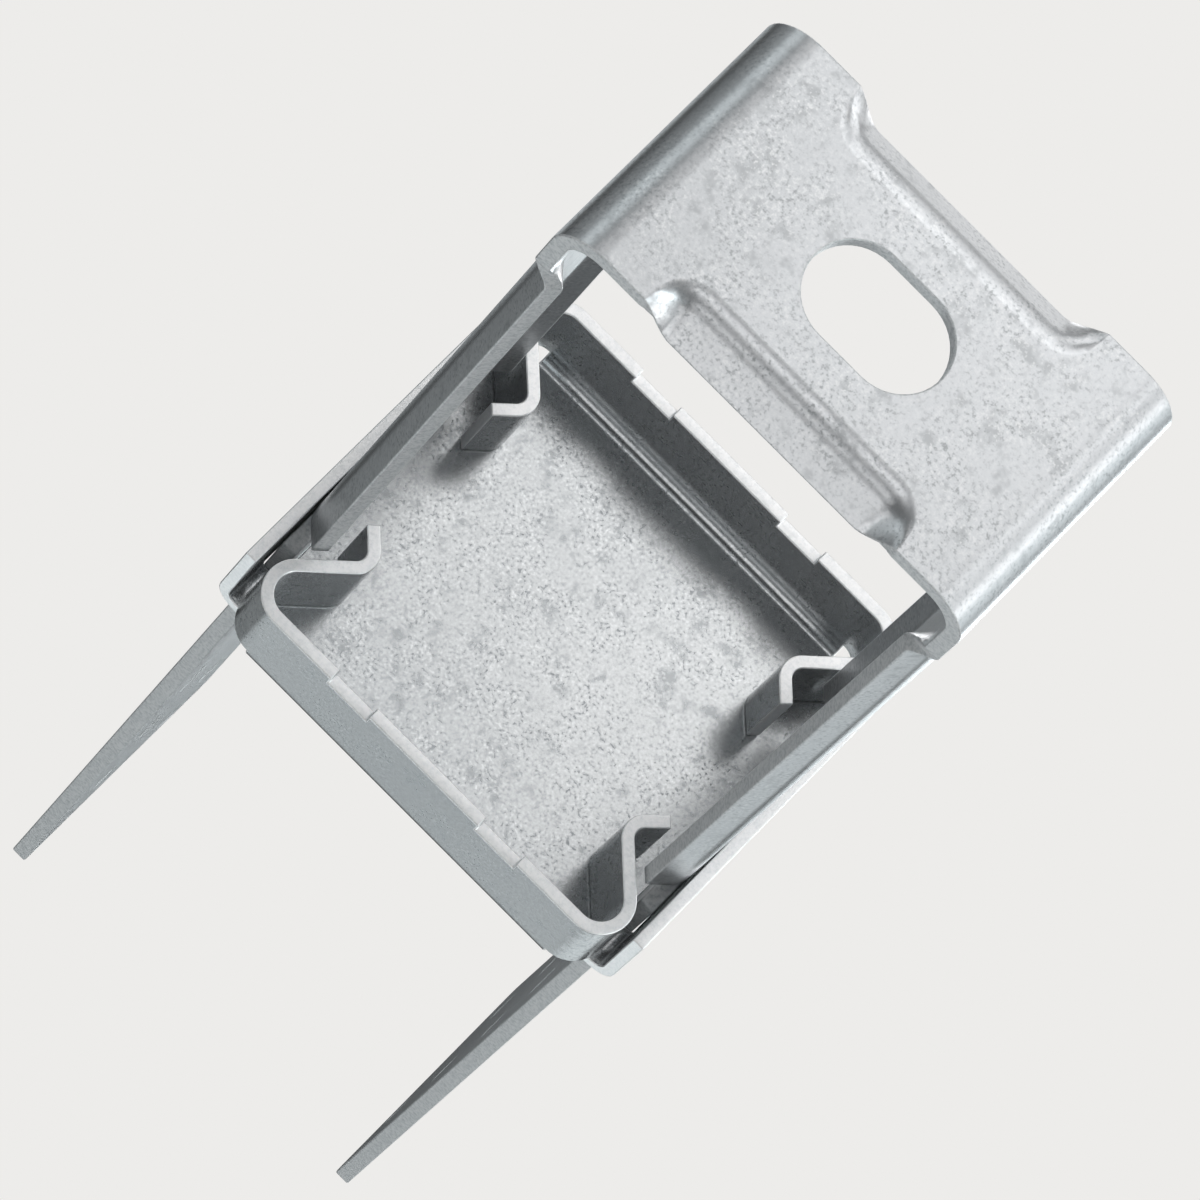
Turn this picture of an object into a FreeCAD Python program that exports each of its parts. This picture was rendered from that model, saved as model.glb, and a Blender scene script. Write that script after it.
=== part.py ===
import FreeCAD, Part
import math
import os

import Sketcher
from FreeCAD import Vector

# Embedded column base for a nominal 4 x 4 post, in millimetres.
# A U-shaped stirrup strap is cast into the concrete, and a folded standoff pan slides down over
# its legs and stands on the concrete, so that the post end is held clear of the wet surface.
# The origin lies under the middle of the strap's web: X runs from leg to leg, Z points up.

doc = FreeCAD.newDocument("column_base")
sheet = doc.addObject("Spreadsheet::Sheet", "Sizes")

# Driving dimensions: alias, value, what it measures.
SIZES = [
    ("post_gap", 90.5, "clear width between the strap legs"),
    ("strap_gauge", 3.4, "sheet thickness of the strap"),
    ("strap_width", 57.15, "width of the strap where it is flat"),
    ("strap_height", 424.0, "underside of the web to the tops of the legs"),
    ("heel_radius", 9.5, "outer bend radius between web and leg"),
    ("top_corner", 3.0, "corner radius at the tops of the legs"),
    ("lip_angle", 45.0, "how far the stiffening lips are turned in, in degrees"),
    ("web_lip_reach", 28.1, "middle of the web to the edge of a web lip, in plan"),
    ("web_lip_radius", 7.5, "outer bend radius of a web lip"),
    ("web_lip_flat", 6.8, "flat width of a web lip beyond its bend"),
    ("web_lip_length", 44.2, "length of a web lip at full depth"),
    ("web_lip_fade", 8.1, "length over which a web lip runs out"),
    ("leg_lip_reach", 28.2, "middle of a leg to the edge of a leg lip"),
    ("leg_lip_radius", 6.0, "outer bend radius of a leg lip"),
    ("leg_lip_flat", 4.5, "flat width of a leg lip beyond its bend"),
    ("leg_lip_start", 20.0, "underside of the web to the start of a leg lip"),
    ("leg_lip_fade", 8.5, "length over which a leg lip grows to full depth"),
    ("leg_lip_entry", 2.6, "how far the leg lips reach into the pan, past its rim"),
    ("lip_relief", 6.0, "height of the relief cut above a leg lip"),
    ("relief_inset", 0.5, "how far the relief cut goes past the lip's bend"),
    ("web_slot_length", 30.0, "length of the anchor slot in the web"),
    ("web_slot_width", 20.0, "width of the anchor slot in the web"),
    ("screw_hole", 7.1, "diameter of a post screw hole"),
    ("screw_column_gap", 25.4, "distance between the two columns of screw holes"),
    ("screw_pitch", 37.0, "distance between screw holes in one column"),
    ("screw_top", 12.0, "top of a leg to its highest screw hole"),
    ("embed_depth", 186.4, "underside of the web to the rim of the pan"),
    ("standoff", 25.4, "rim of the pan to the post seat"),
    ("pan_gauge", 2.6, "sheet thickness of the pan"),
    ("pan_depth", 88.9, "pan size over its front and back walls"),
    ("pan_bend", 2.6, "inner bend radius between floor and walls"),
    ("side_gap", 0.6, "gap between strap and side wall"),
    ("side_wall_length", 77.2, "length of a side wall"),
    ("slot_clearance", 0.3, "gap between strap and floor slot, all round"),
    ("corner_radius", 7.2, "outer bend radius where a wall turns into its corner tab"),
    ("tab_setback", 10.35, "inner face of the strap to the fold of a corner tab"),
    ("tab_back", 6.0, "edge of the strap to the fold of a corner tab, along the strap"),
    ("tab_fold_radius", 2.2, "inner bend radius of a corner tab's fold"),
    ("tab_tip", 7.1, "length of a corner tab past its fold"),
    ("tab_gap", 0.6, "gap between a corner tab and the floor"),
    ("rim_notch_width", 9.9, "width of a weep notch in the rim"),
    ("rim_notch_depth", 2.6, "depth of a weep notch in the rim"),
    ("rim_notch_spacing", 38.4, "distance between the two weep notches of a wall"),
]
for row, (alias, value, meaning) in enumerate(SIZES, start=1):
    sheet.set(f"A{row}", meaning)
    sheet.set(f"B{row}", str(value))
    sheet.setAlias(f"B{row}", alias)
doc.recompute()


def size(alias):
    return float(sheet.get(alias))


gauge = size("strap_gauge")
leg_inside = size("post_gap") / 2
leg_outside = leg_inside + gauge
strap_half = size("strap_width") / 2
lip_angle = math.radians(size("lip_angle"))
leg_lip_end = size("embed_depth") + size("leg_lip_entry")

# Shares of a lip's run-out at which its loft has a section, from flat to full depth.
FADE_STEPS = (0.0, 0.25, 0.5, 0.75, 1.0)
# Share of a lip's width that is bent where its run-out begins, and how gently its depth begins.
FADE_START = 0.3
FADE_POWER = 1.35
# A cut may differ by this share from the volume that its outline and the sheet give.
CUT_TOLERANCE = 0.02

# Which point of a sketched edge a constraint holds.
START, END, CENTRE = range(1, 4)


def plane(body, role):
    return next(item for item in body.Origin.OriginFeatures if item.Role == role)


def new_sketch(body, name, role, offset=None):
    sketch = body.newObject("Sketcher::SketchObject", name)
    sketch.AttachmentSupport = [(plane(body, role), "")]
    sketch.MapMode = "FlatFace"
    if offset:
        sketch.setExpression("AttachmentOffset.Base.z", offset)
    return sketch


def line(sketch, start, end):
    return sketch.addGeometry(Part.LineSegment(start, end), False)


def arc(sketch, start, middle, end):
    return sketch.addGeometry(Part.Arc(start, middle, end), False)


def dimension(sketch, kind, targets, expression):
    """Adds a driving constraint and binds it to the sheet."""
    geometry, point = targets
    if kind == "Radius":
        radius = sketch.Geometry[geometry].Radius
        index = sketch.addConstraint(Sketcher.Constraint(kind, geometry, radius))
    else:
        place = sketch.getPoint(geometry, point)
        distance = place.x if kind == "DistanceX" else place.y
        index = sketch.addConstraint(Sketcher.Constraint(kind, geometry, point, distance))
    sketch.setExpression(f"Constraints[{index}]", expression)


def rectangle(sketch, low, high, low_expressions, high_expressions):
    """Draws a rectangle whose two opposite corners are bound to the sheet."""
    corners = [low, Vector(high.x, low.y, 0), high, Vector(low.x, high.y, 0)]
    sides = [line(sketch, corners[i], corners[(i + 1) % 4]) for i in range(4)]
    for i in range(4):
        sketch.addConstraint(Sketcher.Constraint("Coincident", sides[i], END, sides[(i + 1) % 4], START))
        sketch.addConstraint(Sketcher.Constraint("Vertical" if i % 2 else "Horizontal", sides[i]))
    for target, expressions in (((sides[0], START), low_expressions), ((sides[1], END), high_expressions)):
        dimension(sketch, "DistanceX", target, expressions[0])
        dimension(sketch, "DistanceY", target, expressions[1])


def pad(body, name, sketch, length, symmetric=False):
    feature = body.newObject("PartDesign::Pad", name)
    feature.Profile = sketch
    feature.SideType = "Symmetric" if symmetric else "One side"
    feature.setExpression("Length", length)
    return feature


def cut_through(body, name, sketch, expected_volume, side="One side", reverse=False):
    """Cuts a sketch right through the body and checks how much came away."""
    doc.recompute()
    before = body.Shape.Volume
    feature = body.newObject("PartDesign::Pocket", name)
    feature.Profile = sketch
    feature.Type = "ThroughAll"
    feature.SideType = side
    feature.Reversed = reverse
    doc.recompute()
    removed = before - body.Shape.Volume
    if abs(removed - expected_volume) > CUT_TOLERANCE * expected_volume:
        raise RuntimeError(f"{name} removed {removed:.1f} mm3, expected {expected_volume:.1f} mm3")
    return feature


def lip_section(sketch, kind, depth_share, spread_share, place):
    """Draws the strap's section with both edges turned in.

    The shares are those of a full lip's depth and of the width that is bent for it.
    place turns a distance across the strap and a depth from its outer face into a sketch point.
    """
    angle = lip_angle * depth_share / spread_share
    full_radius = size(f"{kind}_lip_radius")
    reach = size(f"{kind}_lip_reach")
    flat = size(f"{kind}_lip_flat")
    full_start = reach - full_radius * math.sin(lip_angle) - flat * math.cos(lip_angle)
    bend_start = strap_half - spread_share * (strap_half - full_start)
    edge = strap_half + depth_share * (reach - strap_half)
    bend_length = spread_share * full_radius * lip_angle

    def bend_point(part, inset):
        """Point in the bend zone, a part of the way round and an inset from the outer face."""
        if angle == 0.0:
            return bend_start + part * bend_length, inset
        radius = bend_length / angle
        turn = part * angle
        across = bend_start + (radius - inset) * math.sin(turn)
        depth = radius - (radius - inset) * math.cos(turn)
        return across, depth

    bend_end = bend_point(1.0, 0.0)
    run = (edge - bend_end[0]) / math.cos(angle)
    outer_tip = (edge, bend_end[1] + run * math.sin(angle))
    inner_tip = (edge - gauge * math.sin(angle), outer_tip[1] + gauge * math.cos(angle))
    for hand in (1, -1):
        outer = [place(hand * across, depth) for across, depth in
                 (bend_point(0.0, 0.0), bend_point(0.5, 0.0), bend_end, outer_tip)]
        inner = [place(hand * across, depth) for across, depth in
                 (bend_point(0.0, gauge), bend_point(0.5, gauge), bend_point(1.0, gauge), inner_tip)]
        for start, middle, end, tip in (outer, inner):
            if angle == 0.0:
                line(sketch, start, end)
            else:
                arc(sketch, start, middle, end)
            line(sketch, end, tip)
        line(sketch, outer[3], inner[3])
    for inset in (0.0, gauge):
        line(sketch, place(-bend_start, inset), place(bend_start, inset))


def fade_depth(share):
    """Depth of a lip along its run-out: it leaves the flat gently and slows towards full depth."""
    return math.sin(share * math.pi / 2) ** FADE_POWER


def fade_spread(share):
    """Width bent along a lip's run-out, so that the bend line turns a round corner to the edge."""
    return FADE_START + (1 - FADE_START) * math.sqrt(1 - (1 - share) ** 2)


# Stirrup strap: one band of heavy sheet, bent to a U. The edges of the web and of the embedded
# parts of the legs are turned in as stiffening lips, and the legs above are flat and drilled.
strap = doc.addObject("PartDesign::Body", "stirrup_strap")
strap.Label = "stirrup_strap"


def web_place(across, depth):
    return Vector(across, depth, 0)


def leg_place(across, depth):
    return Vector(leg_outside - depth, across, 0)


# The middle of the web, with a lip along both edges, from the middle of the strap outwards.
web_section = new_sketch(strap, "web_section", "YZ_Plane")
lip_section(web_section, "web", 1.0, 1.0, web_place)
pad(strap, "web_middle", web_section, "Sizes.web_lip_length / 2")

# The web lips run out smoothly before the heel bend.
web_fade_sections = []
for step in reversed(FADE_STEPS):
    fade_sketch = new_sketch(
        strap, f"web_fade_{int(100 * step)}", "YZ_Plane",
        f"Sizes.web_lip_length / 2 + {1 - step} * Sizes.web_lip_fade")
    lip_section(fade_sketch, "web", fade_depth(step), fade_spread(step), web_place)
    web_fade_sections.append(fade_sketch)
web_fade = strap.newObject("PartDesign::AdditiveLoft", "web_fade")
web_fade.Profile = web_fade_sections[0]
web_fade.Sections = web_fade_sections[1:]

# The heel: flat web end, bend and flat foot of the leg.
heel_radius = size("heel_radius")
web_flat_start = size("web_lip_length") / 2 + size("web_lip_fade")
leg_lip_start = size("leg_lip_start")
bend_x = leg_outside - heel_radius
outer_middle = Vector(bend_x + heel_radius * math.sqrt(0.5), heel_radius * (1 - math.sqrt(0.5)), 0)
inner_bend = heel_radius - gauge
inner_middle = Vector(bend_x + inner_bend * math.sqrt(0.5), heel_radius - inner_bend * math.sqrt(0.5), 0)
heel = new_sketch(strap, "heel_profile", "XZ_Plane")
web_under = line(heel, Vector(web_flat_start, 0, 0), Vector(bend_x, 0, 0))
outer_bend = arc(heel, Vector(bend_x, 0, 0), outer_middle, Vector(leg_outside, heel_radius, 0))
leg_out = line(heel, Vector(leg_outside, heel_radius, 0), Vector(leg_outside, leg_lip_start, 0))
leg_end = line(heel, Vector(leg_outside, leg_lip_start, 0), Vector(leg_inside, leg_lip_start, 0))
leg_in = line(heel, Vector(leg_inside, leg_lip_start, 0), Vector(leg_inside, heel_radius, 0))
inside_bend = arc(heel, Vector(bend_x, gauge, 0), inner_middle, Vector(leg_inside, heel_radius, 0))
web_over = line(heel, Vector(bend_x, gauge, 0), Vector(web_flat_start, gauge, 0))
web_end = line(heel, Vector(web_flat_start, gauge, 0), Vector(web_flat_start, 0, 0))
for first, first_end, second, second_end in (
        (web_under, END, outer_bend, START), (outer_bend, END, leg_out, START),
        (leg_in, END, inside_bend, END), (inside_bend, START, web_over, START)):
    heel.addConstraint(Sketcher.Constraint("Tangent", first, first_end, second, second_end))
for first, second in ((leg_out, leg_end), (leg_end, leg_in), (web_over, web_end), (web_end, web_under)):
    heel.addConstraint(Sketcher.Constraint("Coincident", first, END, second, START))
for level in (web_under, leg_end, web_over):
    heel.addConstraint(Sketcher.Constraint("Horizontal", level))
for upright in (leg_out, leg_in, web_end):
    heel.addConstraint(Sketcher.Constraint("Vertical", upright))
heel.addConstraint(Sketcher.Constraint("Coincident", outer_bend, CENTRE, inside_bend, CENTRE))
heel.addConstraint(Sketcher.Constraint("PointOnObject", web_under, START, -1))
dimension(heel, "DistanceX", (web_under, START), "Sizes.web_lip_length / 2 + Sizes.web_lip_fade")
dimension(heel, "DistanceX", (leg_out, START), "Sizes.post_gap / 2 + Sizes.strap_gauge")
dimension(heel, "DistanceY", (leg_end, START), "Sizes.leg_lip_start")
dimension(heel, "DistanceY", (web_over, END), "Sizes.strap_gauge")
dimension(heel, "Radius", (outer_bend, None), "Sizes.heel_radius")
pad(strap, "heel", heel, "Sizes.strap_width", symmetric=True)

# The leg lips grow out of the flat foot, run up to the pan and end in a square cut.
leg_fade_sections = []
for step in FADE_STEPS:
    fade_sketch = new_sketch(
        strap, f"leg_fade_{int(100 * step)}", "XY_Plane",
        f"Sizes.leg_lip_start + {step} * Sizes.leg_lip_fade")
    lip_section(fade_sketch, "leg", fade_depth(step), fade_spread(step), leg_place)
    leg_fade_sections.append(fade_sketch)
leg_fade = strap.newObject("PartDesign::AdditiveLoft", "leg_fade")
leg_fade.Profile = leg_fade_sections[0]
leg_fade.Sections = leg_fade_sections[1:]

leg_section = new_sketch(strap, "leg_section", "XY_Plane", "Sizes.leg_lip_start + Sizes.leg_lip_fade")
lip_section(leg_section, "leg", 1.0, 1.0, leg_place)
pad(strap, "leg_lipped", leg_section,
    "Sizes.embed_depth + Sizes.leg_lip_entry - Sizes.leg_lip_start - Sizes.leg_lip_fade")

# Above the lips the leg narrows to a neck between two relief cuts, then runs flat to its top.
lip_bend_start = (size("leg_lip_reach") - size("leg_lip_radius") * math.sin(lip_angle)
                  - size("leg_lip_flat") * math.cos(lip_angle))
neck_half = lip_bend_start - size("relief_inset")
flat_bottom = leg_lip_end + size("lip_relief")
leg_top = size("strap_height")
top_corner = size("top_corner")
leg_flat = new_sketch(strap, "leg_flat_outline", "YZ_Plane", "Sizes.post_gap / 2")
right_side = [
    Vector(neck_half, leg_lip_end, 0),
    Vector(neck_half, flat_bottom, 0),
    Vector(strap_half, flat_bottom, 0),
    Vector(strap_half, leg_top - top_corner, 0),
]
corner_inset = top_corner * (1 - math.sqrt(0.5))
for hand in (1, -1):
    points = [Vector(hand * point.x, point.y, 0) for point in right_side]
    for start, end in zip(points, points[1:]):
        line(leg_flat, start, end)
    arc(leg_flat, points[-1], Vector(hand * (strap_half - corner_inset), leg_top - corner_inset, 0),
        Vector(hand * (strap_half - top_corner), leg_top, 0))
line(leg_flat, Vector(-neck_half, leg_lip_end, 0), Vector(neck_half, leg_lip_end, 0))
line(leg_flat, Vector(top_corner - strap_half, leg_top, 0), Vector(strap_half - top_corner, leg_top, 0))
pad(strap, "leg_flat", leg_flat, "Sizes.strap_gauge")

# The other half is the mirror image.
doc.recompute()
both_halves = strap.newObject("PartDesign::Mirrored", "both_halves")
both_halves.TransformMode = "Whole shape"
both_halves.MirrorPlane = (plane(strap, "YZ_Plane"), [""])
strap.Tip = both_halves

# Anchor slot with round ends, in the middle of the web.
slot_radius = size("web_slot_width") / 2
slot_straight = size("web_slot_length") / 2 - slot_radius
web_slot = new_sketch(strap, "web_slot_outline", "XY_Plane")
for hand in (1, -1):
    edge = hand * slot_radius
    line(web_slot, Vector(-slot_straight, edge, 0), Vector(slot_straight, edge, 0))
    arc(web_slot, Vector(hand * slot_straight, slot_radius, 0),
        Vector(hand * (slot_straight + slot_radius), 0, 0), Vector(hand * slot_straight, -slot_radius, 0))
slot_area = math.pi * slot_radius ** 2 + 4 * slot_straight * slot_radius
cut_through(strap, "web_slot", web_slot, slot_area * gauge, side="Symmetric")

# Post screw holes: two staggered columns in each leg, four holes in one and three in the other.
# The legs are alike when the strap is turned round, so that facing screws pass each other.
hole_area = math.pi * size("screw_hole") ** 2 / 4
LONG_COLUMN_COUNT = 4
SHORT_COLUMN_COUNT = 3
STAGGER = 0.5
for name, hand in (("right", 1), ("left", -1)):
    holes = new_sketch(strap, f"screw_holes_{name}", "YZ_Plane")
    for column, count, drop in ((hand, LONG_COLUMN_COUNT, 0.0), (-hand, SHORT_COLUMN_COUNT, STAGGER)):
        for place_in_column in range(count):
            pitches = drop + place_in_column
            centre = Vector(column * size("screw_column_gap") / 2,
                            leg_top - size("screw_top") - pitches * size("screw_pitch"), 0)
            hole = holes.addGeometry(Part.Circle(centre, Vector(0, 0, 1), size("screw_hole") / 2), False)
            dimension(holes, "Radius", (hole, None), "Sizes.screw_hole / 2")
            dimension(holes, "DistanceX", (hole, CENTRE), f"{column} * Sizes.screw_column_gap / 2")
            dimension(holes, "DistanceY", (hole, CENTRE),
                      f"Sizes.strap_height - Sizes.screw_top - {pitches} * Sizes.screw_pitch")
    holes_volume = (LONG_COLUMN_COUNT + SHORT_COLUMN_COUNT) * hole_area * gauge
    cut_through(strap, f"screw_holes_{name}_cut", holes, holes_volume, reverse=hand > 0)

# Standoff pan: one sheet, blanked and folded with its open side down. Its floor is the post seat,
# its walls stand on the concrete, and slots beside the side walls let the strap legs through.
pan = doc.addObject("PartDesign::Body", "standoff_base")
pan.Label = "standoff_base"

sheet_gauge = size("pan_gauge")
rim = size("embed_depth")
seat = rim + size("standoff")
bend_inner = size("pan_bend")
bend_outer = bend_inner + sheet_gauge
side_outside = leg_outside + size("side_gap") + sheet_gauge
wall_outside = size("pan_depth") / 2

SIDE_OUTSIDE = "(Sizes.post_gap / 2 + Sizes.strap_gauge + Sizes.side_gap + Sizes.pan_gauge)"
SEAT = "(Sizes.embed_depth + Sizes.standoff)"
TAB_FOLD_X = "(Sizes.post_gap / 2 - Sizes.tab_setback)"
TAB_FOLD_Y = "(Sizes.strap_width / 2 - Sizes.tab_back)"
WALL_FLAT_HALF = (f"({TAB_FOLD_X} - {TAB_FOLD_Y} + Sizes.pan_depth / 2"
                  " - (1 + sqrt(2)) * Sizes.corner_radius)")


def folded_profile(sketch, half, half_expression):
    """Draws a floor with a wall folded down at each end, half being the outer half width."""
    lift = math.sqrt(0.5)
    outer_x = half - bend_outer
    centre_z = seat - bend_outer
    inside = half - sheet_gauge
    floor_under = seat - sheet_gauge
    top = line(sketch, Vector(-outer_x, seat, 0), Vector(outer_x, seat, 0))
    bottom = line(sketch, Vector(outer_x, floor_under, 0), Vector(-outer_x, floor_under, 0))
    for hand in (1, -1):
        outer = arc(sketch, Vector(hand * outer_x, seat, 0),
                    Vector(hand * (outer_x + bend_outer * lift), centre_z + bend_outer * lift, 0),
                    Vector(hand * half, centre_z, 0))
        outer_wall = line(sketch, Vector(hand * half, centre_z, 0), Vector(hand * half, rim, 0))
        edge = line(sketch, Vector(hand * half, rim, 0), Vector(hand * inside, rim, 0))
        inner_wall = line(sketch, Vector(hand * inside, rim, 0), Vector(hand * inside, centre_z, 0))
        inner = arc(sketch, Vector(hand * inside, centre_z, 0),
                    Vector(hand * (outer_x + bend_inner * lift), centre_z + bend_inner * lift, 0),
                    Vector(hand * outer_x, floor_under, 0))
        # An arc is kept anticlockwise, so its first point depends on the hand.
        high, low = (END, START) if hand > 0 else (START, END)
        top_end, bottom_end = (END, START) if hand > 0 else (START, END)
        sketch.addConstraint(Sketcher.Constraint("Tangent", top, top_end, outer, high))
        sketch.addConstraint(Sketcher.Constraint("Tangent", outer, low, outer_wall, START))
        sketch.addConstraint(Sketcher.Constraint("Coincident", outer_wall, END, edge, START))
        sketch.addConstraint(Sketcher.Constraint("Coincident", edge, END, inner_wall, START))
        sketch.addConstraint(Sketcher.Constraint("Tangent", inner_wall, END, inner, low))
        sketch.addConstraint(Sketcher.Constraint("Tangent", inner, high, bottom, bottom_end))
        sketch.addConstraint(Sketcher.Constraint("Vertical", outer_wall))
        sketch.addConstraint(Sketcher.Constraint("Vertical", inner_wall))
        sketch.addConstraint(Sketcher.Constraint("Horizontal", edge))
        sketch.addConstraint(Sketcher.Constraint("Coincident", outer, CENTRE, inner, CENTRE))
        dimension(sketch, "DistanceX", (edge, START), f"{hand} * {half_expression}")
        dimension(sketch, "DistanceY", (edge, START), "Sizes.embed_depth")
        dimension(sketch, "Radius", (inner, None), "Sizes.pan_bend")
    sketch.addConstraint(Sketcher.Constraint("Horizontal", top))
    dimension(sketch, "DistanceY", (top, START), SEAT)
    dimension(sketch, "DistanceY", (bottom, START), f"{SEAT} - Sizes.pan_gauge")


# Floor and side walls, then floor and front and back walls: the corners stay open.
side_profile = new_sketch(pan, "side_wall_profile", "XZ_Plane")
folded_profile(side_profile, side_outside, SIDE_OUTSIDE)
pad(pan, "side_walls", side_profile, "Sizes.side_wall_length", symmetric=True)

wall_profile = new_sketch(pan, "front_back_profile", "YZ_Plane")
folded_profile(wall_profile, wall_outside, "Sizes.pan_depth / 2")
pad(pan, "front_back_walls", wall_profile, f"2 * {WALL_FLAT_HALF}", symmetric=True)

# Corner tabs: each end of the front and back walls turns in past the edge of the strap at
# 45 degrees and is folded back once, so that the tab keeps the strap's lip in its corner.
DIAGONAL = math.sqrt(0.5)
fold = Vector(leg_inside - size("tab_setback"), strap_half - size("tab_back"), 0)
corner_radius = size("corner_radius")
corner_y = wall_outside - corner_radius
corner = Vector(corner_y + fold.x - fold.y - corner_radius / DIAGONAL, corner_y, 0)
fold_radius = size("tab_fold_radius")
fold_centre = Vector(fold.x + fold_radius / DIAGONAL, fold.y, 0)
tip = fold + size("tab_tip") * DIAGONAL * Vector(1, -1, 0)
back = DIAGONAL * Vector(-1, 1, 0)
front = DIAGONAL * Vector(-1, -1, 0)
round_tip = Vector(math.cos(math.pi / 8), -math.sin(math.pi / 8), 0)


def corner_outline(sketch, at):
    """Draws the first quarter turn of a corner, from the wall to its furthest point."""
    for inset in (0.0, sheet_gauge):
        bend = corner_radius - inset
        arc(sketch, at(corner + Vector(0, bend, 0)), at(corner - bend * front),
            at(corner + Vector(bend, 0, 0)))
    for direction in (Vector(0, 1, 0), Vector(1, 0, 0)):
        line(sketch, at(corner + corner_radius * direction),
             at(corner + (corner_radius - sheet_gauge) * direction))


def tab_outline(sketch, at):
    """Draws the rest of a corner's bend, the tab's inward leg, its fold and its tip."""
    for inset in (0.0, sheet_gauge):
        bend = corner_radius - inset
        turn = fold_radius + inset
        leg_start = corner - bend * back
        arc(sketch, at(corner + Vector(bend, 0, 0)), at(corner + bend * round_tip), at(leg_start))
        line(sketch, at(leg_start), at(fold_centre + turn * back))
        arc(sketch, at(fold_centre + turn * back), at(fold_centre - Vector(turn, 0, 0)),
            at(fold_centre + turn * front))
        line(sketch, at(fold_centre + turn * front), at(tip + inset * front))
    line(sketch, at(tip), at(tip + sheet_gauge * front))
    line(sketch, at(corner + Vector(corner_radius, 0, 0)),
         at(corner + Vector(corner_radius - sheet_gauge, 0, 0)))


def in_corner(hand_x, hand_y):
    """Gives a function that carries a point of the first corner over to another corner."""
    return lambda point: Vector(hand_x * point.x, hand_y * point.y, 0)


# The corner itself ends level with the start of the floor's bend, so that the wall can be folded
# beside it, and the tab past it reaches almost to the floor.
bends = new_sketch(pan, "corner_bend_outlines", "XY_Plane", "Sizes.embed_depth")
tabs = new_sketch(pan, "corner_tab_outlines", "XY_Plane", "Sizes.embed_depth")
for hands in ((1, 1), (-1, 1), (-1, -1), (1, -1)):
    corner_outline(bends, in_corner(*hands))
    tab_outline(tabs, in_corner(*hands))
corner_bends = pad(pan, "corner_bends", bends, "Sizes.standoff - Sizes.pan_gauge - Sizes.pan_bend")
corner_bends.AllowMultiFace = True
corner_tabs = pad(pan, "corner_tabs", tabs, "Sizes.standoff - Sizes.pan_gauge - Sizes.tab_gap")
corner_tabs.AllowMultiFace = True

# Weep notches let water out through the rims of the front and back walls.
notches = new_sketch(pan, "weep_notch_outlines", "XZ_Plane")
notch_half = size("rim_notch_width") / 2
for hand in (1, -1):
    middle = hand * size("rim_notch_spacing") / 2
    rectangle(notches,
              Vector(middle - notch_half, rim, 0),
              Vector(middle + notch_half, rim + size("rim_notch_depth"), 0),
              (f"{hand} * Sizes.rim_notch_spacing / 2 - Sizes.rim_notch_width / 2", "Sizes.embed_depth"),
              (f"{hand} * Sizes.rim_notch_spacing / 2 + Sizes.rim_notch_width / 2",
               "Sizes.embed_depth + Sizes.rim_notch_depth"))
notch_volume = 4 * size("rim_notch_width") * size("rim_notch_depth") * sheet_gauge
cut_through(pan, "weep_notches", notches, notch_volume, side="Symmetric")

# Floor slots for the strap legs.
clearance = size("slot_clearance")
slots = new_sketch(pan, "strap_slot_outlines", "XY_Plane", "Sizes.embed_depth")
slot_ends = ("Sizes.strap_width / 2 + Sizes.slot_clearance", "-Sizes.strap_width / 2 - Sizes.slot_clearance")
for hand in (1, -1):
    sides = [hand * (leg_inside - clearance), hand * (leg_outside + clearance)]
    side_expressions = [
        f"{hand} * (Sizes.post_gap / 2 - Sizes.slot_clearance)",
        f"{hand} * (Sizes.post_gap / 2 + Sizes.strap_gauge + Sizes.slot_clearance)",
    ]
    rectangle(slots,
              Vector(sides[0], strap_half + clearance, 0),
              Vector(sides[1], -strap_half - clearance, 0),
              (side_expressions[0], slot_ends[0]),
              (side_expressions[1], slot_ends[1]))
doc.recompute()
slot_prism = Part.makeBox(gauge + 2 * clearance, 2 * (strap_half + clearance), seat,
                          Vector(leg_inside - clearance, -strap_half - clearance, 0))
slot_volume = 2 * pan.Shape.common(slot_prism).Volume
cut_through(pan, "strap_slots", slots, slot_volume, reverse=True)

# Every feature must have computed, and each piece must be one sound solid.
doc.recompute()
for item in doc.Objects:
    if "Invalid" in item.State or "Error" in item.State:
        raise RuntimeError(f"{item.Name} failed: {item.State}")
os.makedirs("parts", exist_ok=True)
for piece in (strap, pan):
    shape = piece.Shape
    if shape.isNull() or not shape.isValid() or len(shape.Solids) != 1:
        raise RuntimeError(f"{piece.Label} is not one valid solid")
    shape.exportStep(f"parts/{piece.Label}.step")
    box = shape.BoundBox
    print(f"{piece.Label}: volume {shape.Volume:.0f} mm3, faces {len(shape.Faces)}, "
          f"x {box.XMin:.2f} to {box.XMax:.2f}, y {box.YMin:.2f} to {box.YMax:.2f}, "
          f"z {box.ZMin:.2f} to {box.ZMax:.2f}")
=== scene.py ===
import math

import bpy
from mathutils import Matrix, Vector

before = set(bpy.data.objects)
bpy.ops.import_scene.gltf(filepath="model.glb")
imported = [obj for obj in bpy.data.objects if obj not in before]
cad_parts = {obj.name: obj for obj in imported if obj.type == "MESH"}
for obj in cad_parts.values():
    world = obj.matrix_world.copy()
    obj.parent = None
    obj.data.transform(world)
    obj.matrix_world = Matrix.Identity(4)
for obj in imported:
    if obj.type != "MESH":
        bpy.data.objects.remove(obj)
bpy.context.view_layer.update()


# Stirrup strap: one band of heavy sheet steel, bent cold to a U with its edges turned in, then
# dipped in molten zinc. It is cast into the concrete up to the pan and screwed to the post above.
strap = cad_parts["stirrup_strap"]
MM = 0.001
STRAP_GAUGE_MM = 3.4
STRAP_EDGE_ROUND_MM = 0.35


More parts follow.
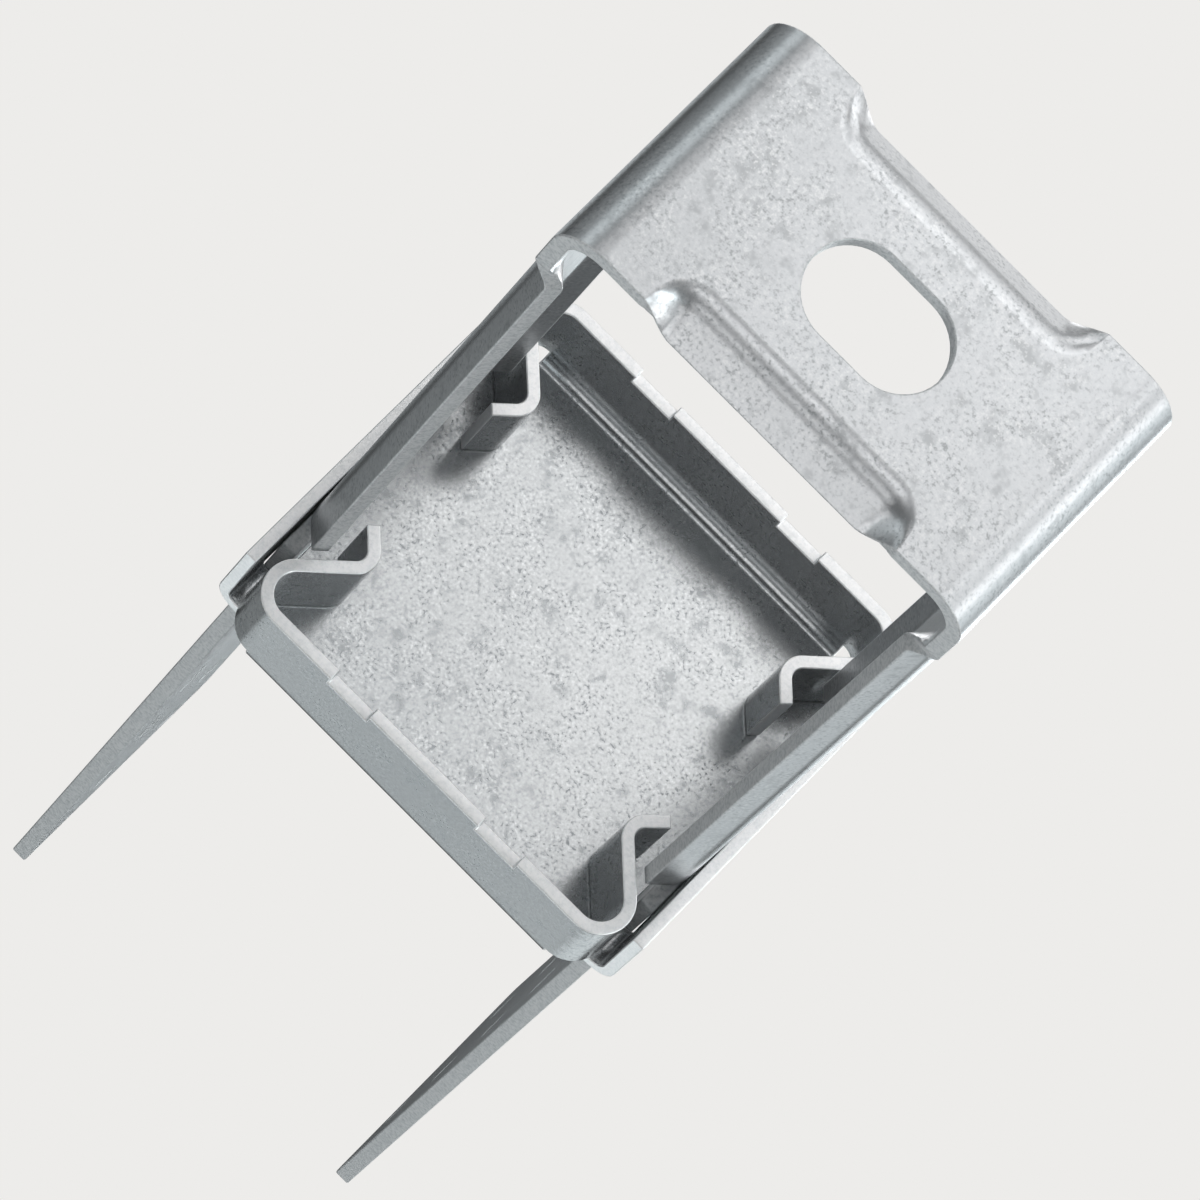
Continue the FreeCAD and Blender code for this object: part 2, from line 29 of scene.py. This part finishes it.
def linear(hex_colour):
    """Linear RGBA of an sRGB hex colour."""
    channels = [int(hex_colour[i:i + 2], 16) / 255 for i in (1, 3, 5)]
    low = [c / 12.92 if c <= 0.04045 else ((c + 0.055) / 1.055) ** 2.4 for c in channels]
    return (*low, 1.0)


def per_metre(size_mm):
    """Texture scale that repeats a pattern every size_mm."""
    return 1 / (size_mm * MM)


def add_node(tree, kind, settings, inputs):
    """Adds a node, sets its properties, and fills its sockets with values or links."""
    node = tree.nodes.new(kind)
    for name, value in settings.items():
        setattr(node, name, value)
    for name, value in inputs.items():
        if isinstance(value, bpy.types.NodeSocket):
            tree.links.new(value, node.inputs[name])
        else:
            node.inputs[name].default_value = value
    return node


# A Mix node's colour sockets go by number, because sockets of other types share their names.
MIX_FACTOR, MIX_A, MIX_B = 0, 6, 7
MIX_COLOUR = 2

# Hot-dip galvanised sheet: a satin skin of zinc that drifts in tone over the whole sheet, with dull
# spots a millimetre or two across and a fine grain of pits and specks, busier in some clouds.
GRAIN_MM = 0.7
DULL_SPOT_MM = 3.2
CLOUD_MM = 10.0
DRIFT_MM = 80.0
ZINC_METALLIC = 0.85
DULL_ROUGHER = 0.1
RELIEF_MM = 0.1


def galvanised_sheet(name, zinc, dull, glint, satin, seed):
    """Zinc in its clean, dull and glinting colours, with its roughness and a pattern of its own."""
    material = bpy.data.materials.new(name)
    material.use_nodes = True
    tree = material.node_tree
    tree.nodes.clear()
    place = add_node(tree, "ShaderNodeTexCoord", {}, {}).outputs["Object"]
    shifted = add_node(tree, "ShaderNodeVectorMath", {"operation": "ADD"},
                       {0: place, 1: (seed, seed, seed)}).outputs["Vector"]
    grain = add_node(tree, "ShaderNodeTexNoise", {},
                     {"Vector": shifted, "Scale": per_metre(GRAIN_MM), "Detail": 1.0,
                      "Roughness": 0.6}).outputs["Fac"]
    clouds = add_node(tree, "ShaderNodeTexNoise", {},
                      {"Vector": shifted, "Scale": per_metre(CLOUD_MM), "Detail": 2.0}).outputs["Fac"]
    spots = add_node(tree, "ShaderNodeTexNoise", {"noise_dimensions": "4D"},
                     {"Vector": shifted, "W": 3.0, "Scale": per_metre(DULL_SPOT_MM), "Detail": 2.0,
                      "Roughness": 0.6}).outputs["Fac"]
    tone = add_node(tree, "ShaderNodeTexNoise", {"noise_dimensions": "4D"},
                    {"Vector": shifted, "W": 7.0, "Scale": per_metre(DRIFT_MM),
                     "Detail": 0.0}).outputs["Fac"]
    drift = add_node(tree, "ShaderNodeMapRange", {},
                     {"Value": tone, "From Min": 0.35, "From Max": 0.65,
                      "To Max": 0.42}).outputs["Result"]
    busy = add_node(tree, "ShaderNodeMapRange", {},
                    {"Value": clouds, "From Min": 0.38, "From Max": 0.62,
                     "To Min": 0.4, "To Max": 1.0}).outputs["Result"]
    dull_spots = add_node(tree, "ShaderNodeMapRange", {},
                          {"Value": spots, "From Min": 0.54, "From Max": 0.68,
                           "To Max": 0.6}).outputs["Result"]
    pits = add_node(tree, "ShaderNodeMapRange", {},
                    {"Value": grain, "From Min": 0.46, "From Max": 0.28}).outputs["Result"]
    specks = add_node(tree, "ShaderNodeMapRange", {},
                      {"Value": grain, "From Min": 0.54, "From Max": 0.72}).outputs["Result"]
    busy_pits = add_node(tree, "ShaderNodeMath", {"operation": "MULTIPLY"},
                         {0: pits, 1: busy}).outputs["Value"]
    busy_specks = add_node(tree, "ShaderNodeMath", {"operation": "MULTIPLY"},
                           {0: specks, 1: busy}).outputs["Value"]
    dulled = add_node(tree, "ShaderNodeMath", {"operation": "MAXIMUM"},
                      {0: dull_spots, 1: busy_pits}).outputs["Value"]
    clean = add_node(tree, "ShaderNodeMix", {"data_type": "RGBA"},
                     {MIX_FACTOR: drift, MIX_A: linear(zinc), MIX_B: linear(dull)})
    skin = add_node(tree, "ShaderNodeMix", {"data_type": "RGBA"},
                    {MIX_FACTOR: dulled, MIX_A: clean.outputs[MIX_COLOUR], MIX_B: linear(dull)})
    colour = add_node(tree, "ShaderNodeMix", {"data_type": "RGBA"},
                      {MIX_FACTOR: busy_specks, MIX_A: skin.outputs[MIX_COLOUR], MIX_B: linear(glint)})
    roughness = add_node(tree, "ShaderNodeMapRange", {},
                         {"Value": dulled, "To Min": satin,
                          "To Max": satin + DULL_ROUGHER}).outputs["Result"]
    relief = add_node(tree, "ShaderNodeBump", {},
                      {"Height": grain, "Strength": 0.08, "Distance": RELIEF_MM * MM}).outputs["Normal"]
    shader = add_node(tree, "ShaderNodeBsdfPrincipled", {},
                      {"Base Color": colour.outputs[MIX_COLOUR], "Metallic": ZINC_METALLIC,
                       "Roughness": roughness, "Normal": relief}).outputs["BSDF"]
    add_node(tree, "ShaderNodeOutputMaterial", {}, {"Surface": shader})
    return material


# Sheared zinc edge: where the sheet was cut the zinc is thinner, paler and matt, with a short
# speckle from the torn steel. On the pan the edge colour also carries a painted highlight.
SPECKLE_MM = 0.8


def sheared_edge(name, pale, torn, metallic, satin, seed):
    """Cut edge in its pale and torn colours, with its own metallic, roughness and pattern."""
    material = bpy.data.materials.new(name)
    material.use_nodes = True
    tree = material.node_tree
    tree.nodes.clear()
    place = add_node(tree, "ShaderNodeTexCoord", {}, {}).outputs["Object"]
    shifted = add_node(tree, "ShaderNodeVectorMath", {"operation": "ADD"},
                       {0: place, 1: (seed, seed, seed)}).outputs["Vector"]
    speckle = add_node(tree, "ShaderNodeTexNoise", {},
                       {"Vector": shifted, "Scale": per_metre(SPECKLE_MM), "Detail": 3.0,
                        "Roughness": 0.7}).outputs["Fac"]
    torn_part = add_node(tree, "ShaderNodeMapRange", {},
                         {"Value": speckle, "From Min": 0.42, "From Max": 0.7}).outputs["Result"]
    colour = add_node(tree, "ShaderNodeMix", {"data_type": "RGBA"},
                      {MIX_FACTOR: torn_part, MIX_A: linear(pale), MIX_B: linear(torn)})
    relief = add_node(tree, "ShaderNodeBump", {},
                      {"Height": speckle, "Strength": 0.25, "Distance": RELIEF_MM * MM}).outputs["Normal"]
    shader = add_node(tree, "ShaderNodeBsdfPrincipled", {},
                      {"Base Color": colour.outputs[MIX_COLOUR], "Metallic": metallic,
                       "Roughness": satin, "Normal": relief}).outputs["BSDF"]
    add_node(tree, "ShaderNodeOutputMaterial", {}, {"Surface": shader})
    return material


# A sheet's first material is that of its rolled faces, and its second that of its cut edges.
EDGE_SLOT = 1
RAY_START_MM = 0.01
LONGEST_RAY = 1.0
CUT_DEPTH_IN_GAUGES = 1.8


def find_cut_faces(gauge_mm):
    """Nodes that give the edge material to each face with far more steel behind it than the gauge."""
    tree = bpy.data.node_groups.new(f"cut_faces_{gauge_mm}", "GeometryNodeTree")
    tree.interface.new_socket("Geometry", in_out="INPUT", socket_type="NodeSocketGeometry")
    tree.interface.new_socket("Geometry", in_out="OUTPUT", socket_type="NodeSocketGeometry")
    solid = add_node(tree, "NodeGroupInput", {}, {}).outputs["Geometry"]
    outward = add_node(tree, "GeometryNodeInputNormal", {}, {}).outputs["Normal"]
    inward = add_node(tree, "ShaderNodeVectorMath", {"operation": "SCALE"},
                      {"Vector": outward, "Scale": -1.0}).outputs["Vector"]
    middle = add_node(tree, "GeometryNodeInputPosition", {}, {}).outputs["Position"]
    inside = add_node(tree, "ShaderNodeVectorMath", {"operation": "MULTIPLY_ADD"},
                      {0: inward, 1: [RAY_START_MM * MM] * 3, 2: middle}).outputs["Vector"]
    depth = add_node(tree, "GeometryNodeRaycast", {},
                     {"Target Geometry": solid, "Source Position": inside,
                      "Ray Direction": inward, "Ray Length": LONGEST_RAY}).outputs["Hit Distance"]
    cut = add_node(tree, "FunctionNodeCompare", {"operation": "GREATER_THAN"},
                   {"A": depth, "B": CUT_DEPTH_IN_GAUGES * gauge_mm * MM}).outputs["Result"]
    marked = add_node(tree, "GeometryNodeSetMaterialIndex", {},
                      {"Geometry": solid, "Selection": cut, "Material Index": EDGE_SLOT})
    add_node(tree, "NodeGroupOutput", {}, {"Geometry": marked.outputs["Geometry"]})
    return tree


WELD_MM = 0.001
FLAT_WITHIN = math.radians(0.5)
SHARP_FROM = math.radians(35)


def dress_sheet(sheet, face_material, edge_material, gauge_mm, edge_round_mm):
    """Gives a sheet its materials and takes the sharpness off its sheared edges."""
    sheet.data.materials.clear()
    sheet.data.materials.append(face_material)
    sheet.data.materials.append(edge_material)
    weld = sheet.modifiers.new("joined_faces", "WELD")
    weld.merge_threshold = WELD_MM * MM
    cut_faces = sheet.modifiers.new("cut_faces", "NODES")
    cut_faces.node_group = find_cut_faces(gauge_mm)
    flatten = sheet.modifiers.new("flat_faces", "DECIMATE")
    flatten.decimate_type = "DISSOLVE"
    flatten.angle_limit = FLAT_WITHIN
    bevel = sheet.modifiers.new("rolled_edge", "BEVEL")
    bevel.width = edge_round_mm * MM
    bevel.segments = 2
    bevel.limit_method = "ANGLE"
    bevel.angle_limit = SHARP_FROM
    bevel.use_clamp_overlap = False
    bevel.loop_slide = False
    bevel.material = EDGE_SLOT
    shading = sheet.modifiers.new("even_shading", "WEIGHTED_NORMAL")
    shading.weight = 60


strap_zinc = galvanised_sheet("galvanised_strap_steel", zinc="#D6D8DA", dull="#B1B4B6", glint="#E3E4E5",
                              satin=0.3, seed=0.82)
strap_edge = sheared_edge("sheared_strap_edge", pale="#DCDEDF", torn="#B6BBBD",
                          metallic=0.3, satin=0.5, seed=0.11)
dress_sheet(strap, strap_zinc, strap_edge, STRAP_GAUGE_MM, STRAP_EDGE_ROUND_MM)


# Standoff pan: one lighter sheet, blanked, folded with its open side down and galvanised. Its slots
# slide down over the strap's legs and its walls stand on the concrete.
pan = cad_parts["standoff_base"]
PAN_GAUGE_MM = 2.6
PAN_EDGE_ROUND_MM = 0.3
pan_zinc = galvanised_sheet("galvanised_pan_steel", zinc="#D0D2D3", dull="#A2A6A9", glint="#DFE1E2",
                            satin=0.22, seed=0.82)
# Painted highlight: the pan's cut edges are near white, paler than the strap's. This is partly because cut
# zinc is pale and partly to stand in for the light the rims catch.
pan_edge_and_painted_highlight = sheared_edge("sheared_pan_edge_and_painted_highlight", pale="#FDFDFD", torn="#EBEDEE",
                        metallic=0.9, satin=0.42, seed=0.53)
dress_sheet(pan, pan_zinc, pan_edge_and_painted_highlight, PAN_GAUGE_MM, PAN_EDGE_ROUND_MM)


# Studio floor: a sheet of pale paper just under the part. It is only seen from above and fades out
# into the backdrop, so that the view from below looks up past it at the same backdrop.
FLOOR_HALF = 1.0
FLOOR_FADE_FROM = 0.3
FLOOR_DROP_MM = 0.2
floor_mesh = bpy.data.meshes.new("studio_floor")
corners = [(-FLOOR_HALF, -FLOOR_HALF, 0), (FLOOR_HALF, -FLOOR_HALF, 0),
           (FLOOR_HALF, FLOOR_HALF, 0), (-FLOOR_HALF, FLOOR_HALF, 0)]
floor_mesh.from_pydata(corners, [], [(0, 1, 2, 3)])
floor = bpy.data.objects.new("studio_floor", floor_mesh)
floor.location.z = -FLOOR_DROP_MM * MM
bpy.context.scene.collection.objects.link(floor)
floor.visible_diffuse = False
floor.visible_glossy = False
floor.visible_transmission = False
floor.visible_shadow = False

# Pale studio paper: matt, with faint clouds in its pulp, and a little glow in place of a lit room.
PAPER_CLOUD_MM = 30.0
PAPER_GLOW = 0.35
floor_material = bpy.data.materials.new("pale_studio_paper")
floor_material.use_nodes = True
floor_tree = floor_material.node_tree
floor_tree.nodes.clear()
paper_clouds = add_node(floor_tree, "ShaderNodeTexNoise", {},
                        {"Scale": per_metre(PAPER_CLOUD_MM), "Detail": 3.0}).outputs["Fac"]
paper_mix = add_node(floor_tree, "ShaderNodeMix", {"data_type": "RGBA"},
                     {MIX_FACTOR: paper_clouds, MIX_A: linear("#E9E8E6"), MIX_B: linear("#EFEEEC")})
paper_colour = paper_mix.outputs[MIX_COLOUR]
lit_paper = add_node(floor_tree, "ShaderNodeBsdfDiffuse", {}, {"Color": paper_colour})
glowing_paper = add_node(floor_tree, "ShaderNodeEmission", {},
                         {"Color": paper_colour, "Strength": PAPER_GLOW})
paper = add_node(floor_tree, "ShaderNodeAddShader", {},
                 {0: lit_paper.outputs["BSDF"], 1: glowing_paper.outputs["Emission"]})
clear = add_node(floor_tree, "ShaderNodeBsdfTransparent", {}, {})
below = add_node(floor_tree, "ShaderNodeNewGeometry", {}, {}).outputs["Backfacing"]
floor_place = add_node(floor_tree, "ShaderNodeTexCoord", {}, {}).outputs["Object"]
far_out = add_node(floor_tree, "ShaderNodeVectorMath", {"operation": "LENGTH"},
                   {0: floor_place}).outputs["Value"]
faded = add_node(floor_tree, "ShaderNodeMapRange", {"interpolation_type": "SMOOTHSTEP"},
                 {"Value": far_out, "From Min": FLOOR_FADE_FROM, "From Max": FLOOR_HALF}).outputs["Result"]
unseen = add_node(floor_tree, "ShaderNodeMath", {"operation": "MAXIMUM"},
                  {0: faded, 1: below}).outputs["Value"]
one_sided = add_node(floor_tree, "ShaderNodeMixShader", {},
                     {0: unseen, 1: paper.outputs["Shader"], 2: clear.outputs["BSDF"]})
add_node(floor_tree, "ShaderNodeOutputMaterial", {}, {"Surface": one_sided.outputs["Shader"]})
floor_mesh.materials.append(floor_material)


# Backdrop and lights: an even pale wall all round that only the camera sees, a trace of ambient
# light, and softboxes on every side of the part, below it too, because the view is from below.
AMBIENT_STRENGTH = 0.02
world = bpy.data.worlds.new("studio")
bpy.context.scene.world = world
world.use_nodes = True
world_tree = world.node_tree
world_tree.nodes.clear()
backdrop = add_node(world_tree, "ShaderNodeBackground", {},
                    {"Color": linear("#EDECEA"), "Strength": 1.0})
ambient = add_node(world_tree, "ShaderNodeBackground", {},
                   {"Color": linear("#E4E7EA"), "Strength": AMBIENT_STRENGTH})
seen = add_node(world_tree, "ShaderNodeLightPath", {}, {}).outputs["Is Camera Ray"]
both = add_node(world_tree, "ShaderNodeMixShader", {},
                {0: seen, 1: ambient.outputs["Background"], 2: backdrop.outputs["Background"]})
add_node(world_tree, "ShaderNodeOutputWorld", {}, {"Surface": both.outputs["Shader"]})


def softbox(name, target, direction, distance, size, colour, power):
    """Square area light that faces a point of the part from a direction."""
    light = bpy.data.lights.new(name, "AREA")
    light.size = size
    light.color = linear(colour)[:3]
    light.energy = power
    lamp = bpy.data.objects.new(name, light)
    lamp.location = target + Vector(direction).normalized() * distance
    lamp.rotation_mode = "QUATERNION"
    lamp.rotation_quaternion = Vector(direction).to_track_quat("Z", "Y")
    lamp.visible_camera = False
    bpy.context.scene.collection.objects.link(lamp)
    return lamp


# Each softbox has a direction from the part, a side in metres, a colour, and a power in stops above
# or below one watt. Left is the +X leg's side, right the -X leg's, and front is -Y.
LIT_POINT = Vector((0, 0, 0.2))
LIGHT_DISTANCE = 1.5
NEUTRAL, COOL = "#FFFFFF", "#F5FDFF"
SOFTBOXES = [
    ("mirror_key", (0.0, 0.42, -0.91), 0.5, NEUTRAL, 0.0),
    ("key_wide", (0.0, 0.64, -0.77), 0.6, NEUTRAL, 0.5),
    ("key_right", (-0.35, 0.4, -0.85), 0.5, NEUTRAL, 0.0),
    ("key_left", (0.35, 0.4, -0.85), 0.5, NEUTRAL, -0.5),
    ("under_mid", (0.0, -0.02, -1.0), 0.35, NEUTRAL, -0.5),
    ("under_front", (0.0, -0.2, -0.98), 0.35, NEUTRAL, -1.5),
    ("back_low", (0.0, 0.85, -0.5), 0.7, NEUTRAL, 0.5),
    ("back_mid", (0.0, 0.98, -0.12), 0.7, NEUTRAL, -0.5),
    ("back_high", (0.0, 0.92, 0.39), 0.8, NEUTRAL, 1.0),
    ("back_left_low", (0.5, 0.8, -0.33), 0.8, NEUTRAL, 1.5),
    ("back_left_high", (0.43, 0.75, 0.5), 0.6, NEUTRAL, 1.5),
    ("back_right_low", (-0.5, 0.8, -0.33), 0.8, NEUTRAL, 2.0),
    ("back_right_high", (-0.43, 0.75, 0.5), 0.6, NEUTRAL, 1.5),
    ("front", (0.0, -0.92, -0.39), 0.9, NEUTRAL, 1.5),
    ("front_left", (0.6, -0.75, -0.28), 0.8, NEUTRAL, 1.5),
    ("front_right", (-0.6, -0.75, -0.28), 0.8, NEUTRAL, 1.5),
    ("front_high", (0.0, -0.7, 0.71), 0.8, COOL, 1.5),
    ("top_front", (0.0, -0.45, 0.9), 0.7, COOL, -0.5),
    ("right_low", (-0.6, 0.39, -0.7), 0.6, NEUTRAL, 0.0),
    ("right_mid", (-0.85, 0.39, -0.36), 0.5, NEUTRAL, 0.5),
    ("right_side", (-0.92, 0.39, 0.0), 0.8, COOL, 1.0),
    ("right_back", (-0.55, 0.82, 0.1), 0.6, NEUTRAL, -1.0),
    ("right_upper", (-0.8, 0.39, 0.45), 0.6, COOL, -1.0),
    ("right_high", (-0.5, 0.39, 0.78), 0.6, COOL, 2.0),
    ("right_flat", (-0.95, -0.17, -0.23), 0.6, NEUTRAL, 1.5),
    ("low_right", (-0.75, -0.1, -0.65), 0.7, COOL, 2.5),
    ("top_right", (-0.45, -0.2, 0.88), 0.7, COOL, 0.5),
    ("left_low", (0.75, 0.39, -0.54), 0.6, COOL, 0.0),
    ("left_mid", (0.85, 0.39, -0.36), 0.8, COOL, -2.0),
    ("left_side", (0.92, 0.39, 0.0), 0.8, COOL, -1.5),
    ("left_high", (0.5, 0.39, 0.78), 0.6, COOL, -0.5),
    ("left_front", (0.85, -0.35, -0.4), 0.8, COOL, 0.0),
    ("low_left", (0.75, -0.1, -0.65), 0.7, COOL, 0.0),
    ("top_left", (0.45, -0.2, 0.88), 0.7, COOL, -1.5),
]
for name, direction, side, colour, stops in SOFTBOXES:
    softbox(name, LIT_POINT, direction, LIGHT_DISTANCE, side, colour, 2 ** stops)

# A narrow strip close under the front lip of the web, with a grid that keeps its light off the pan.
LIP_POINT = Vector((0, -19, 1.5)) * MM
LIP_DIRECTION = (0.0, -0.61, -0.79)
LIP_DISTANCE = 0.1
LIP_STRIP_LENGTH = 0.16
LIP_STRIP_WIDTH = 0.04
LIP_STRIP_GRID = math.radians(26)
LIP_STRIP_POWER = 0.00075
lip_strip = softbox("lip_strip", LIP_POINT, LIP_DIRECTION, LIP_DISTANCE, LIP_STRIP_LENGTH, NEUTRAL,
                    LIP_STRIP_POWER)
lip_strip.data.shape = "RECTANGLE"
lip_strip.data.size_y = LIP_STRIP_WIDTH
lip_strip.data.spread = LIP_STRIP_GRID


# Camera: a long lens below the part and in front of it, turned on its side by an eighth of a turn,
# so that the web is at the upper right and the legs run away to the lower left.
TILT = math.radians(22.699)
AIM = Vector((-0.563, 0, 174.9)) * MM
DISTANCE = 1963.9 * MM
SENSOR_MM = 36.0
IMAGE_SIDE_PX = 1200
FOCAL_PX = 10611.3
view = Vector((0, math.sin(TILT), math.cos(TILT)))
across = Vector((0, math.cos(TILT), -math.sin(TILT)))
right = (across - Vector((1, 0, 0))).normalized()
up = (across + Vector((1, 0, 0))).normalized()
camera_data = bpy.data.cameras.new("camera")
camera_data.sensor_width = SENSOR_MM
camera_data.lens = SENSOR_MM * FOCAL_PX / IMAGE_SIDE_PX
camera = bpy.data.objects.new("camera", camera_data)
turn = Matrix((right, up, -view)).transposed().to_4x4()
camera.matrix_world = Matrix.Translation(AIM - view * DISTANCE) @ turn
bpy.context.scene.collection.objects.link(camera)
bpy.context.scene.camera = camera
bpy.context.scene.view_settings.view_transform = "Standard"
